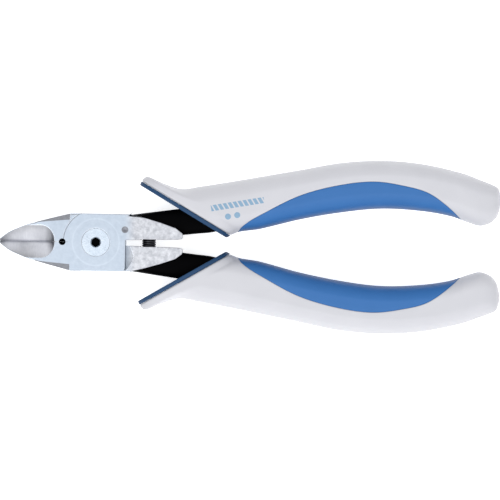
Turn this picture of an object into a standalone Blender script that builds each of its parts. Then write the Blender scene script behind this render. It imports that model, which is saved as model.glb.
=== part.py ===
"""Diagonal cutting pliers with a lap joint, a return spring and padded grips.

Metres, +Z up, jaws towards -X and handles towards +X. Every shape is drawn
around the pivot, with the joint's mid-plane at Z = 0, for the half whose lap
plate is on top: its jaw is on the -Y side and its handle on the +Y side. The
rear half is the same forging turned over about the X axis, and so is its grip.
The finished tool is lifted so that the grips rest on Z = 0, with the whole
tool centred over the origin.
"""
import math

import bmesh
import bpy
from mathutils import Matrix

# Overall sizes
JAW_LENGTH = 0.0289            # pivot to tip
HANDLE_REACH = 0.1210          # pivot to the butt of the grips
HANDLE_SPAN = 0.0519           # over both grips, jaws closed
HEAD_WIDTH = 0.0171
HEAD_THICKNESS = 0.0100
GRIP_THICKNESS = 0.0140

# Fits
CLEARANCE = 0.0003             # between pieces that meet and don't turn
TURNING_CLEARANCE = 0.0001     # round the pivot screw
CUT_CLEARANCE = 0.0001         # between the closed cutting edges

# Lap joint: plate edges are arcs about the pivot, so that the halves can turn
LAP_LEDGE = 0.00115            # the plate's round edge stands this far outside the head's half-width
PLATE_REACH = 0.0089           # pivot to the plate's straight rear edge
PLATE_CORNER = 0.0010          # radius of that edge's outer corner
OPENING = 21                   # degrees for which the halves have room, one more than they turn
EDGE_CHAMFER = 0.0005
RELIEF_RADIUS = 0.0010         # round pocket behind the cutting edges, in both faces
RELIEF_WEB = 0.0005            # half the steel left between the two pockets

# Jaws
CUT_END = 0.0123               # pivot to the rear end of the cutting edges
TIP_THICKNESS = 0.0030
SHOULDER_END = 0.0078          # the side bevels run from here towards the tip
SHOULDER_START = 0.0185
SHOULDER_WIDTH = 0.0019
SHOULDER_DEPTH = 0.0024
JAW_INSET = 0.00002            # the jaw's hidden end sits this far inside the head's faces
RIM_WIDTH = 0.03               # smallest side bevel, as a share of the jaw's half-width
RIM_DEPTH = 0.06               # and as a share of its half-thickness
BEVEL_REACH = 0.00485          # furthest that the ground cutting bevel comes from the cut line
BEVEL_RISE = 0.0040            # length over which it curves out to there
BEVEL_SHARE = 0.97             # nearer the tip it takes this share of the jaw's half-width
BEVEL_RIM = 1.02               # the flat past the bevel starts at least this far out, in its reach

# Handle roots and tangs
HANDLE_GAP = 0.0015            # between the two roots at the lap, jaws closed
ROOT_LENGTH = 0.0259           # pivot to the blunt end of the ground root face
ROOT_CHAMFER = 0.0002
TANG_THICKNESS = 0.0056
TANG_WIDTH = 0.0056            # inside the grip
TANG_ROOT_SHARE = 0.86         # the tang's thickness at the root, as a share of the head's
TANG_EDGE = 0.14               # depth of its edge bevels, as a share of its thickness
TANG_EDGE_RISE = 0.20          # more of the same near the root
TANG_INNER_BEVEL = 0.25        # width of its inner edge bevels, as a share of its half-width
TANG_OUTER_BEVEL = 0.30        # and of its outer ones
TANG_OUTER_RISE = 0.50         # more of the same near the root
BUTT_LENGTH = 0.0220           # end of the tang to the butt of the grip

# Pivot screw and nut
SHANK_RADIUS = 0.0025
SCREW_HEAD_RADIUS = 0.0042
SCREW_HEAD_HEIGHT = 0.0018
HEX_ACROSS_FLATS = 0.0025
HEX_DEPTH = 0.0021
HEAD_RECESS = 0.0002           # the screw head and the nut sit this far below the faces
SPANNER_HOLE_RADIUS = 0.0005
SPANNER_HOLE_DEPTH = 0.0008

# Return spring
SPRING_WALL = 0.0012           # steel between the lap's turning room and the spring pocket
SPRING_DIAMETER = 0.0042
SPRING_WIRE = 0.0006
SPRING_TURNS = 13
SPRING_POCKET = 0.0040         # depth of the blind pocket in each root
SPRING_SEAT = 0.00115          # mid-line to the floor of the notch round the pocket's mouth
STEPS_PER_TURN = 12

# Grips
SLEEVE_WALL = 0.0010
FLANGE_THICKNESS = 0.0012

# Outlines, each as (share of HANDLE_REACH, share of half the HANDLE_SPAN)
GRIP_BACK = ((0.1055, 0.672), (0.1135, 0.748), (0.127, 0.768), (0.155, 0.712), (0.207, 0.636),
             (0.257, 0.667), (0.356, 0.748), (0.505, 0.879), (0.604, 0.967), (0.703, 1.0),
             (0.802, 0.971), (0.902, 0.875), (0.951, 0.794), (0.993, 0.713), (1.0, 0.663))
GRIP_BELLY = ((0.1055, -0.060), (0.250, 0.020), (0.322, 0.080), (0.340, 0.125), (0.356, 0.152),
              (0.375, 0.166), (0.406, 0.188), (0.505, 0.306), (0.604, 0.393), (0.703, 0.445),
              (0.802, 0.428), (0.876, 0.374), (0.926, 0.295), (0.951, 0.266), (0.976, 0.301),
              (0.993, 0.382), (1.0, 0.462))
PAD_EDGE = ((0.335, 0.030), (0.360, 0.204), (0.421, 0.385), (0.505, 0.582), (0.600, 0.705),
            (0.686, 0.752), (0.760, 0.708), (0.820, 0.630), (0.870, 0.470), (0.925, 0.240))
FRONT_HORN = (0.1055, 0.672)
FRONT_TOE = (0.322, 0.080)

# The ground root face, as (share of ROOT_LENGTH, share of half the HEAD_WIDTH)
ROOT_FACE = ((0.942, 0.140), (1.0, 0.175), (1.0, 0.363), (0.919, 0.544), (0.745, 0.725),
             (0.564, 0.883), (0.390, 1.0))

# The jaws' closed outline, as (share of JAW_LENGTH, share of half the HEAD_WIDTH)
JAW_OUTLINE = ((0.270, 1.0), (0.48, 0.812), (0.70, 0.605), (0.77, 0.515), (0.90, 0.315), (1.0, 0.060))

# Grip height as (share of HANDLE_REACH, share of GRIP_THICKNESS)
GRIP_HEIGHT = ((0.1055, 0.70), (0.145, 0.90), (0.220, 1.0), (0.900, 1.0), (0.960, 0.88),
               (0.985, 0.72), (1.0, 0.52))
GRIP_STATIONS = (0.1055, 0.110, 0.117, 0.127, 0.141, 0.160, 0.185, 0.220, 0.260, 0.290,
                 0.322, 0.340, 0.356, 0.380, 0.410, 0.460, 0.510, 0.560, 0.610, 0.660,
                 0.710, 0.760, 0.810, 0.860, 0.900, 0.930, 0.955, 0.975, 0.988, 0.996, 1.0)
TANG_STATIONS = (0.10, 0.14, 0.18, 0.22, 0.26, 0.29, 0.32, 0.35, 0.38, 0.41,
                 0.45, 0.50, 0.56, 0.62, 0.68, 0.75)
GRIP_SIDES = 24
GRIP_SQUARENESS = 2.7          # 2 is an ellipse, higher is boxier
GRIP_CROWN = 1.03              # the section's height before its flats are cut

ROUND_SIDES = 48

HEAD_HALF = HEAD_WIDTH / 2
FACE = HEAD_THICKNESS / 2
LAP = CLEARANCE / 2
LAP_RADIUS = HEAD_HALF + LAP_LEDGE
JAW_SEAT = LAP_RADIUS + CLEARANCE
CORNER_REACH = math.hypot(PLATE_REACH - PLATE_CORNER, HEAD_HALF - PLATE_CORNER) + PLATE_CORNER
ROOT_SEAT = CORNER_REACH + CLEARANCE      # where the other root starts
SPRING_STATION = ROOT_SEAT + SPRING_WALL + CLEARANCE + SPRING_DIAMETER / 2
ROOT_MIDDLE = (HEAD_HALF + HANDLE_GAP / 2) / 2
TANG_END = HANDLE_REACH - BUTT_LENGTH
PIVOT_X = (JAW_LENGTH - HANDLE_REACH) / 2
PIVOT_Z = GRIP_THICKNESS / 2
BEYOND = 0.2                   # how far a cutter runs past what it cuts
SAME_PLACE = 1e-6


def curve_at(points, x):
    """The smooth curve through the (x, y) points, read at x."""
    last = len(points) - 1
    x = min(max(x, points[0][0]), points[last][0])
    i = next(k for k in range(last) if x <= points[k + 1][0])

    def slope(k):
        before = points[max(k - 1, 0)]
        after = points[min(k + 1, last)]
        return (after[1] - before[1]) / (after[0] - before[0])

    span = points[i + 1][0] - points[i][0]
    t = (x - points[i][0]) / span
    start = (1 + 2 * t) * (1 - t) ** 2 * points[i][1] + t * (1 - t) ** 2 * span * slope(i)
    end = t * t * (3 - 2 * t) * points[i + 1][1] + t * t * (t - 1) * span * slope(i + 1)
    return start + end


def arc(x, y, radius, start, stop, steps):
    """Points on an arc, with its angles in degrees."""
    angles = [math.radians(start + (stop - start) * i / steps) for i in range(steps + 1)]
    return [(x + radius * math.cos(a), y + radius * math.sin(a)) for a in angles]


def scaled(points):
    """An outline's shares turned into metres."""
    return [(x * HANDLE_REACH, y * HANDLE_SPAN / 2) for x, y in points]


def shifted(points, distance):
    """An open outline moved sideways, to its left for a positive distance."""
    moved = []
    for i, (x, y) in enumerate(points):
        before = points[max(i - 1, 0)]
        after = points[min(i + 1, len(points) - 1)]
        dx = after[0] - before[0]
        dy = after[1] - before[1]
        length = math.hypot(dx, dy)
        moved.append((x - dy / length * distance, y + dx / length * distance))
    return moved


def material(name, color, metallic, roughness):
    made = bpy.data.materials.new(name)
    made.use_nodes = True
    shader = made.node_tree.nodes["Principled BSDF"]
    shader.inputs["Base Color"].default_value = (*color, 1.0)
    shader.inputs["Metallic"].default_value = metallic
    shader.inputs["Roughness"].default_value = roughness
    return made


def add_object(name, bm):
    bmesh.ops.recalc_face_normals(bm, faces=bm.faces)
    mesh = bpy.data.meshes.new(name)
    bm.to_mesh(mesh)
    bm.free()
    made = bpy.data.objects.new(name, mesh)
    bpy.context.collection.objects.link(made)
    return made


def loft(name, loops):
    """A closed solid through loops of equally many points, capped at both ends."""
    bm = bmesh.new()
    rings = [[bm.verts.new(point) for point in loop] for loop in loops]
    count = len(rings[0])
    for ring, following in zip(rings, rings[1:]):
        for i in range(count):
            j = (i + 1) % count
            bm.faces.new((ring[i], ring[j], following[j], following[i]))
    bm.faces.new(rings[0])
    bm.faces.new(rings[-1])
    return add_object(name, bm)


def in_jaw(edge):
    """True for the lap plate's edges that the same half's jaw covers."""
    return all(v.co.x < SAME_PLACE - SHOULDER_END and v.co.y < SAME_PLACE for v in edge.verts)


def prism(name, outline, low, high, chamfered=(), chamfer=EDGE_CHAMFER):
    """An outline in X and Y extruded from low to high, chamfered round the heights named."""
    made = loft(name, [[(x, y, z) for x, y in outline] for z in (low, high)])
    for height in chamfered:
        bm = bmesh.new()
        bm.from_mesh(made.data)
        level = [e for e in bm.edges if all(abs(v.co.z - height) < SAME_PLACE for v in e.verts)]
        rim = [e for e in level if not in_jaw(e)]
        bmesh.ops.bevel(bm, geom=rim, offset=chamfer, segments=1, affect="EDGES")
        bm.to_mesh(made.data)
        bm.free()
    return made


def disc(name, radius, low, high, x=0.0, y=0.0, sides=ROUND_SIDES):
    outline = arc(x, y, radius, 0, 360, sides)[:-1]
    return prism(name, outline, low, high)


def turned(name, profile):
    """A solid of revolution about the Z axis, from (radius, z) points off the axis."""
    angles = [2 * math.pi * i / ROUND_SIDES for i in range(ROUND_SIDES)]
    loops = [[(r * math.cos(a), r * math.sin(a), z) for a in angles] for r, z in profile]
    return loft(name, loops)


def combine(target, other, operation):
    """Cut, join or intersect the target with the other object, which is used up."""
    modifier = target.modifiers.new(operation.lower(), "BOOLEAN")
    modifier.operation = operation
    modifier.solver = "EXACT"
    modifier.object = other
    bpy.context.view_layer.update()
    evaluated = target.evaluated_get(bpy.context.evaluated_depsgraph_get())
    mesh = bpy.data.meshes.new_from_object(evaluated)
    target.modifiers.clear()
    target.data = mesh
    bpy.data.objects.remove(other)
    return target


def cut(target, *cutters):
    for cutter in cutters:
        combine(target, cutter, "DIFFERENCE")
    return target


def join(target, *others):
    for other in others:
        combine(target, other, "UNION")
    return target


# ---- steel halves ----

def jaw_outline(distance):
    """Half-width of the closed jaws at a distance from the pivot."""
    return HEAD_HALF * curve_at(JAW_OUTLINE, distance / JAW_LENGTH)


def jaw_height(distance):
    """Half-thickness of the jaws: full at the joint, thinner towards the tip."""
    shares = ((0.0, 1.0), (0.45, 0.97), (0.75, 0.72), (1.0, TIP_THICKNESS / HEAD_THICKNESS))
    return FACE * curve_at(shares, max(distance - SHOULDER_END, 0) / (JAW_LENGTH - SHOULDER_END))


def bevel_reach(distance):
    """Distance from the cut line to the rim of the ground cutting bevel."""
    edge = CUT_CLEARANCE / 2
    if distance <= CUT_END:
        return edge
    left = 1 - min((distance - CUT_END) / BEVEL_RISE, 1.0)
    reach = min(BEVEL_REACH * math.sqrt(1 - left ** 2), BEVEL_SHARE * jaw_outline(distance))
    return max(reach, edge)


def jaw_section(distance, inset=0.0):
    """The -Y jaw's section, as seen along X: cutting edge, rim, side and back again."""
    width = jaw_outline(distance) - inset
    height = jaw_height(distance) - inset
    rim = bevel_reach(distance)
    share = (SHOULDER_START - distance) / (SHOULDER_START - SHOULDER_END)
    share = min(max(share, 0.0), 1.0) if distance >= SHOULDER_END else 0.0
    shoulder = max(share * SHOULDER_WIDTH, RIM_WIDTH * width)
    depth = max(share * SHOULDER_DEPTH, RIM_DEPTH * height)
    flat = max(width - shoulder, rim * BEVEL_RIM)
    top = [(rim, height), (flat, height), (width, height - depth)]
    points = [(CUT_CLEARANCE / 2, 0.0)] + top + [(y, -z) for y, z in reversed(top)]
    return [(-distance, -y, z) for y, z in points]


def jaw(name):
    """The -Y jaw, which runs on a little way into the head, just under its faces."""
    ground = JAW_LENGTH - CUT_END
    steps = (1.0, 0.94, 0.86, 0.76, 0.64, 0.50, 0.36, 0.24, 0.14, 0.06, 0.015, 0.0)
    stations = [CUT_END + ground * step for step in steps] + [JAW_SEAT, SHOULDER_END]
    loops = [jaw_section(station) for station in stations]
    loops += [jaw_section(SHOULDER_END * share, JAW_INSET) for share in (0.999, 0.6)]
    return loft(name, loops)


def plate_outline():
    """The lap plate from above: round against the jaw, straight against the other root."""
    meets = 180 - math.degrees(math.asin(HEAD_HALF / LAP_RADIUS))
    corner_x = PLATE_REACH - PLATE_CORNER
    corner_y = HEAD_HALF - PLATE_CORNER
    outline = arc(0, 0, LAP_RADIUS, 180, meets, 16)
    joined = PLATE_REACH * 1.15
    outline += [(joined, HEAD_HALF), (joined, HANDLE_GAP), (PLATE_REACH, HANDLE_GAP)]
    outline += arc(corner_x, -corner_y, PLATE_CORNER, 0, -90, 4)
    outline += [(-SHOULDER_END, -HEAD_HALF), (-SHOULDER_END, -CUT_CLEARANCE / 2)]
    return outline


def root_outline():
    """The ground face of the handle's root, which narrows to a blunt end."""
    start = PLATE_REACH * 0.7
    face = [(x * ROOT_LENGTH, y * HEAD_HALF) for x, y in ROOT_FACE]
    return [(start, HANDLE_GAP / 2)] + face + [(start, HEAD_HALF)]


def grip_middle(x):
    """Halfway between the grip's back and its belly."""
    return (curve_at(scaled(GRIP_BACK), x) + curve_at(scaled(GRIP_BELLY), x)) / 2


def tang_centre(x):
    """The tang's centre line: from the root, then along the middle of the grip."""
    toe = FRONT_TOE[0] * HANDLE_REACH
    inside = toe * 1.33
    if x > inside:
        return grip_middle(x)
    points = [(PLATE_REACH, ROOT_MIDDLE), (toe * 0.52, ROOT_MIDDLE + 0.0013),
              (toe * 0.77, ROOT_MIDDLE + 0.0025), (toe * 0.92, ROOT_MIDDLE + 0.0033),
              (inside, grip_middle(inside)), (inside * 1.1, grip_middle(inside * 1.1))]
    return curve_at(points, x)


def tang_half_width(x):
    toe = FRONT_TOE[0] * HANDLE_REACH
    at_root = (HEAD_HALF - HANDLE_GAP / 2) / 2
    points = ((PLATE_REACH, at_root - 0.0003), (toe * 0.50, at_root),
              (toe * 0.90, at_root + 0.0002), (toe * 1.12, at_root),
              (toe * 1.45, TANG_WIDTH / 2), (TANG_END, TANG_WIDTH / 2 - 0.0004))
    return curve_at(points, x)


def tang_section(x, extra=0.0):
    """The tang's section at x, grown all round by extra. It is thicker near the root."""
    near = max(0.0, 1.0 - (x - PLATE_REACH) / (ROOT_LENGTH - PLATE_REACH))
    half = tang_half_width(x)
    centre = tang_centre(x)
    middle = TANG_THICKNESS / 2 + near * (FACE * TANG_ROOT_SHARE - TANG_THICKNESS / 2) + extra
    edge = middle - TANG_THICKNESS * (TANG_EDGE + TANG_EDGE_RISE * near)
    inner = centre - half - extra
    outer = centre + half + extra
    inner_flat = inner + half * TANG_INNER_BEVEL
    outer_flat = outer - half * (TANG_OUTER_BEVEL + TANG_OUTER_RISE * near)
    top = [(inner, edge), (inner_flat, middle), (outer_flat, middle), (outer, edge)]
    return [(x, y, z) for y, z in top + [(y, -z) for y, z in reversed(top)]]


def tang_loft(name, start, stop, extra=0.0):
    """The tang, or room for it, from start to stop. All of them bend at the same stations."""
    bends = [HANDLE_REACH * share for share in TANG_STATIONS]
    stations = [start] + [x for x in bends if start < x < stop] + [stop]
    return loft(name, [tang_section(x, extra) for x in stations])


def turning_room():
    """What the other half's plate needs below the lap: a disc, and more on the root's side."""
    jaw_side = disc("jaw_side", JAW_SEAT, -BEYOND, LAP)
    outline = []
    for angle in range(-80, 86, 5):
        furthest = math.radians(min(max(angle + OPENING, 0), 45))
        reach = min(PLATE_REACH / math.cos(furthest), CORNER_REACH) + CLEARANCE
        outline.append((reach * math.cos(math.radians(angle)), reach * math.sin(math.radians(angle))))
    return jaw_side, prism("root_side", outline, -BEYOND, LAP)


def spring_room():
    """A blind hole along Y for the spring's end, and a notch right across its mouth."""
    radius = SPRING_DIAMETER / 2 + CLEARANCE
    pocket = disc("spring_pocket", radius, -HANDLE_GAP, SPRING_POCKET)
    along_y = Matrix.Rotation(-math.pi / 2, 4, "X")
    pocket.data.transform(Matrix.Translation((SPRING_STATION, HANDLE_GAP / 2, 0)) @ along_y)
    left = SPRING_STATION - radius
    right = SPRING_STATION + radius
    corners = [(left, 0), (right, 0), (right, SPRING_SEAT), (left, SPRING_SEAT)]
    return prism("spring_seat", corners, -BEYOND, BEYOND), pocket


def half(name):
    """One forging: jaw, lap plate, root and tang in one piece."""
    body = prism(name, plate_outline(), LAP, FACE, chamfered=(FACE,))
    root = prism("root", root_outline(), -FACE, FACE, chamfered=(-FACE, FACE), chamfer=ROOT_CHAMFER)
    tang = tang_loft("tang", PLATE_REACH * 0.9, TANG_END)
    join(body, jaw("jaw"), root, tang)
    cut(body, *turning_room(), *spring_room())
    for low, high in ((RELIEF_WEB, BEYOND), (-BEYOND, -RELIEF_WEB)):
        cut(body, disc("relief", RELIEF_RADIUS, low, high, x=-JAW_SEAT, sides=24))
    cut(body, disc("bore", SHANK_RADIUS + TURNING_CLEARANCE, -BEYOND, BEYOND))
    floor = FACE - HEAD_RECESS - SCREW_HEAD_HEIGHT - CLEARANCE
    return cut(body, disc("counterbore", SCREW_HEAD_RADIUS + TURNING_CLEARANCE, floor, BEYOND))


# ---- pivot ----

def pivot_screw(name):
    top = FACE - HEAD_RECESS
    under = top - SCREW_HEAD_HEIGHT
    end = HEAD_RECESS - FACE
    edge = SCREW_HEAD_RADIUS * 0.07
    profile = [(SHANK_RADIUS - edge, end), (SHANK_RADIUS, end + edge), (SHANK_RADIUS, under),
               (SCREW_HEAD_RADIUS, under), (SCREW_HEAD_RADIUS, top - edge),
               (SCREW_HEAD_RADIUS - edge, top)]
    screw = turned(name, profile)
    hex_radius = HEX_ACROSS_FLATS / 2 / math.cos(math.pi / 6)
    return cut(screw, prism("hex_socket", arc(0, 0, hex_radius, 30, 330, 5), top - HEX_DEPTH, BEYOND))


def pivot_nut(name):
    """A round nut, flush in the rear half, turned with a two-pin spanner."""
    low = HEAD_RECESS - FACE
    high = low + SCREW_HEAD_HEIGHT
    nut = disc(name, SCREW_HEAD_RADIUS, low, high)
    cut(nut, disc("thread", SHANK_RADIUS + TURNING_CLEARANCE, -BEYOND, BEYOND))
    middle = (SHANK_RADIUS + SCREW_HEAD_RADIUS) / 2
    inside = low + SPANNER_HOLE_DEPTH
    for side in (-1, 1):
        cut(nut, disc("hole", SPANNER_HOLE_RADIUS, -BEYOND, inside, x=side * middle, sides=16))
    return nut


# ---- spring ----

def return_spring(name):
    """A coil along Y, from the floor of one root's pocket to the other's."""
    radius = (SPRING_DIAMETER - SPRING_WIRE) / 2
    reach = HANDLE_GAP / 2 + SPRING_POCKET - CLEARANCE - SPRING_WIRE / 2
    steps = SPRING_TURNS * STEPS_PER_TURN
    curve = bpy.data.curves.new(name, "CURVE")
    curve.dimensions = "3D"
    curve.bevel_depth = SPRING_WIRE / 2
    curve.bevel_resolution = 1
    curve.use_fill_caps = True
    wire = curve.splines.new("POLY")
    wire.points.add(steps)
    for i, point in enumerate(wire.points):
        angle = 2 * math.pi * SPRING_TURNS * i / steps
        y = reach * (2 * i / steps - 1)
        point.co = (SPRING_STATION + radius * math.cos(angle), y, radius * math.sin(angle), 1.0)
    made = bpy.data.objects.new(name, curve)
    bpy.context.collection.objects.link(made)
    return made


# ---- grips ----

def grip_section(x):
    """The grip's section at x: a rounded box with a flat on its top and bottom."""
    back = curve_at(scaled(GRIP_BACK), x)
    belly = curve_at(scaled(GRIP_BELLY), x)
    height = GRIP_THICKNESS / 2 * min(1.0, curve_at(GRIP_HEIGHT, x / HANDLE_REACH))
    power = 2 / GRIP_SQUARENESS
    loop = []
    for i in range(GRIP_SIDES):
        angle = 2 * math.pi * i / GRIP_SIDES
        across = math.copysign(abs(math.cos(angle)) ** power, math.cos(angle))
        up = math.copysign(abs(math.sin(angle)) ** power, math.sin(angle))
        z = max(-height, min(height, up * height * GRIP_CROWN))
        loop.append((x, (back + belly) / 2 + across * (back - belly) / 2, z))
    return loop


def grip_form(name):
    return loft(name, [grip_section(share * HANDLE_REACH) for share in GRIP_STATIONS])


def front_cutter(name, distance, side):
    """All that lies in front of (side -1) or behind (side 1) the grip's sloping front face.

    The face is moved by distance into the grip."""
    face = scaled((FRONT_HORN, FRONT_TOE))
    dx = face[1][0] - face[0][0]
    dy = face[1][1] - face[0][1]
    length = math.hypot(dx, dy)
    along = (dx / length, dy / length)
    inward = (-along[1], along[0])
    far = distance + side * BEYOND
    outline = []
    for step, depth in ((-BEYOND, distance), (BEYOND, distance), (BEYOND, far), (-BEYOND, far)):
        x = face[0][0] + along[0] * step + inward[0] * depth
        y = face[0][1] + along[1] * step + inward[1] * depth
        outline.append((x, y))
    return prism(name, outline, -BEYOND, BEYOND)


def belly_cutter(name, grow):
    """The belly side of the pad's edge, moved outwards by grow."""
    edge = scaled(PAD_EDGE)
    xs = [edge[0][0] + (edge[-1][0] - edge[0][0]) * i / 22 for i in range(23)]
    curve = shifted([(x, curve_at(edge, x)) for x in xs], grow)
    return prism(name, curve + [(curve[-1][0], -BEYOND), (curve[0][0], -BEYOND)], -BEYOND, BEYOND)


def sleeve_form(name, extra=0.0):
    """The sleeve's outside, closed beyond the tang's end, grown all round by extra."""
    grow = CLEARANCE + SLEEVE_WALL + extra
    return tang_loft(name, FRONT_HORN[0] * HANDLE_REACH, TANG_END + grow, grow)


def grip_sleeve(name):
    """Tube over the tang, with a flange that shows along the grip's front face."""
    flange = cut(grip_form(name), front_cutter("behind", FLANGE_THICKNESS, 1))
    join(flange, sleeve_form("tube"))
    cut(flange, front_cutter("front", 0.0, -1))
    return cut(flange, tang_loft("tang_room", PLATE_REACH, TANG_END + CLEARANCE, CLEARANCE))


def grip_shell(name):
    shell = cut(grip_form(name), front_cutter("front", FLANGE_THICKNESS + CLEARANCE, -1))
    cut(shell, belly_cutter("belly", CLEARANCE))
    return cut(shell, sleeve_form("tube_room", CLEARANCE))


def grip_pad(name):
    pad = combine(grip_form(name), belly_cutter("belly", 0.0), "INTERSECT")
    return cut(pad, sleeve_form("tube_room", CLEARANCE))


# ---- assembly ----

def shade(made):
    if made.type == "MESH":
        made.data.shade_smooth()
        made.data.set_sharp_from_angle(angle=math.radians(30))


def place(made, finish, parent=None):
    """Give the piece its material and put it at the pivot, which is its own origin."""
    shade(made)
    made.data.materials.clear()
    made.data.materials.append(finish)
    if parent:
        made.parent = parent
    else:
        made.location = (PIVOT_X, 0, PIVOT_Z)
    return made


def turned_over(made, name, finish, parent):
    """A copy for the other half: the same shape turned half a turn about X."""
    copy = bpy.data.objects.new(name, made.data.copy())
    bpy.context.collection.objects.link(copy)
    copy.rotation_euler = (math.pi, 0, 0)
    return place(copy, finish, parent)


def build():
    for old in list(bpy.data.objects):
        bpy.data.objects.remove(old)
    steel = material("ground_steel", (0.62, 0.66, 0.71), 1.0, 0.32)
    screw_steel = material("screw_steel", (0.58, 0.61, 0.65), 1.0, 0.25)
    spring_steel = material("spring_steel", (0.20, 0.20, 0.22), 1.0, 0.35)
    blue = material("blue_rubber", (0.07, 0.21, 0.50), 0.0, 0.50)
    dark_blue = material("dark_blue_plastic", (0.02, 0.09, 0.24), 0.0, 0.45)
    white = material("white_plastic", (0.74, 0.76, 0.80), 0.0, 0.45)

    hinge = bpy.data.objects.new("rear_half_pivot", None)
    bpy.context.collection.objects.link(hinge)
    hinge.location = (PIVOT_X, 0, PIVOT_Z)

    front_half = place(half("front_half"), steel)
    turned_over(front_half, "rear_half", steel, hinge)
    for makes, piece, finish in ((grip_sleeve, "sleeve", dark_blue), (grip_shell, "shell", white),
                                 (grip_pad, "pad", blue)):
        front = place(makes("front_grip_" + piece), finish)
        turned_over(front, "rear_grip_" + piece, finish, hinge)
    place(pivot_screw("pivot_screw"), screw_steel)
    place(pivot_nut("pivot_nut"), screw_steel)
    place(return_spring("return_spring"), spring_steel)


build()
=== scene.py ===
"""Diagonal cutting pliers: the finished look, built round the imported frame.

Metres, +Z up, jaws towards -X. Pieces are drawn round the pivot, with the
joint's mid-plane at Z = 0, for the half whose lap plate is on top: its jaw is
on the -Y side and its handle on the +Y side. The rear half's pieces are the
same ones turned half a turn about the X axis.
"""
import math

import bmesh
import bpy
from mathutils import Matrix, Vector


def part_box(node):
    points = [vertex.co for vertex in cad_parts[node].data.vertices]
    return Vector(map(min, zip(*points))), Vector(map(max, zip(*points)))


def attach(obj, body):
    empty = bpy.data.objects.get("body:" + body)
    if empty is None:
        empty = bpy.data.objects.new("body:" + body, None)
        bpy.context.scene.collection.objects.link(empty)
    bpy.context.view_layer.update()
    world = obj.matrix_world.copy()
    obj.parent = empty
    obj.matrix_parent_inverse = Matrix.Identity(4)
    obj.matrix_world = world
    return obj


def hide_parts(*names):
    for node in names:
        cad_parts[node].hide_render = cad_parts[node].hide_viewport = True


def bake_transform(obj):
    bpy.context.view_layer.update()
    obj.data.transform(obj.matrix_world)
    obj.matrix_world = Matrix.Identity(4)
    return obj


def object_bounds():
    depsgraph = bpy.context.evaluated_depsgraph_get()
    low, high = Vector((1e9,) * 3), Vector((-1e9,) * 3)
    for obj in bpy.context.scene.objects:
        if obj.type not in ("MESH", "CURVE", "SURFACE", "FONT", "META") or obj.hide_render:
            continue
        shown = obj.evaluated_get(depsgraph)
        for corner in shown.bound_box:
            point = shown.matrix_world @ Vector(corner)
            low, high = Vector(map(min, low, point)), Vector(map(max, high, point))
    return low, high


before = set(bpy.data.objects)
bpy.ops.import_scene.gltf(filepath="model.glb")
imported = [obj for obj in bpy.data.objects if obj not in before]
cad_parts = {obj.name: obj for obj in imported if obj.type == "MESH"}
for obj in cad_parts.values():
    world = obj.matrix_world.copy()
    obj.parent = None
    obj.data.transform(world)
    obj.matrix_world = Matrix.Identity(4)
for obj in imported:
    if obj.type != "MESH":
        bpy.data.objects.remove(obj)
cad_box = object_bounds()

# ---- sizes read from the frame ----

SCREW_LOW, SCREW_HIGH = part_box("pivot_screw")
HALF_LOW, HALF_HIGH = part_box("front_half")
LOW, HIGH = cad_box
PIVOT = (SCREW_LOW + SCREW_HIGH) / 2
MILLIMETRES = 1000

JAW_LENGTH = PIVOT.x - HALF_LOW.x
HANDLE_REACH = HIGH.x - PIVOT.x
HANDLE_SPAN = HIGH.y - LOW.y
GRIP_HALF_HEIGHT = (HIGH.z - LOW.z) / 2
FACE = (HALF_HIGH.z - HALF_LOW.z) / 2      # mid-plane to the head's flat faces
BEYOND = 2 * FACE                          # how far a cutter runs past what it cuts
SCREW_HEAD_RADIUS = (SCREW_HIGH.x - SCREW_LOW.x) / 2
HEAD_RECESS = FACE - (SCREW_HIGH.z - SCREW_LOW.z) / 2
SPRING_LOW, SPRING_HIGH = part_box("return_spring")

# ---- sizes of the steel, in metres ----

HEAD_HALF = 0.00855            # half the head's width
CLEARANCE = 0.0003             # between pieces that meet and don't turn
TURNING_CLEARANCE = 0.0001     # round the screw's shank
LAP = 0.00015                  # half the gap between the two lap plates
LAP_LEDGE = 0.00115            # the plate's round edge stands this far outside HEAD_HALF
LAP_RADIUS = HEAD_HALF + LAP_LEDGE
SEAM = 0.00002                 # visible gap round a lap plate
PLATE_REACH = 0.0089
PLATE_CORNER = 0.0010
CORNER_REACH = math.hypot(PLATE_REACH - PLATE_CORNER, HEAD_HALF - PLATE_CORNER) + PLATE_CORNER
OPENING = 21                   # degrees for which the halves have room, one more than they turn
RIM_ROUNDING = 0.00015
ROOT_ROUNDING = 0.00015
JAW_SEAT = LAP_RADIUS + CLEARANCE
JAW_NECK = JAW_SEAT + 0.0008   # the jaw's last section in front of the lap
JAW_INSET = 0.00002            # the jaw's hidden end sits this far inside the head's faces
RELIEF_RADIUS = 0.0010
RELIEF_WEB = 0.0005            # half the web left between the two relief pockets
CUT_GAP = 0.000005             # half the gap between the closed cutting edges
CUT_LINE = 0.00002             # an edge nearer the mid-line than this is a cutting edge
CUT_END = 0.0123
LEAF_REACH = 0.00485           # furthest that a ground cutting leaf comes from the cut line
LEAF_RISE = 0.0040             # length over which it curves out to there
LEAF_SHARE = 0.97              # nearer the tip it takes this share of the jaw's half-width
LEAF_RIM = 1.02                # the flat past the leaf starts at least this far out, in its reach
TIP_HALF_HEIGHT = 0.0015
RIM_WIDTH = 0.05               # smallest side bevel, as a share of the jaw's half-width
RIM_DEPTH = 0.09               # and as a share of its half-thickness
SHOULDER_END = 0.0078
SHOULDER_START = 0.0185
SHOULDER_WIDTH = 0.0019
SHOULDER_DEPTH = 0.0024
HANDLE_GAP = 0.0015
ROOT_LENGTH = 0.0259
TANG_HALF = 0.0028
TANG_TAPER = 0.0004            # lost from its half-width at the hidden end
TANG_SHOULDER = 0.0003         # and where it leaves the lap
TANG_ROOT_SHARE = 0.86         # the tang's thickness at the root, as a share of the head's
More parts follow.
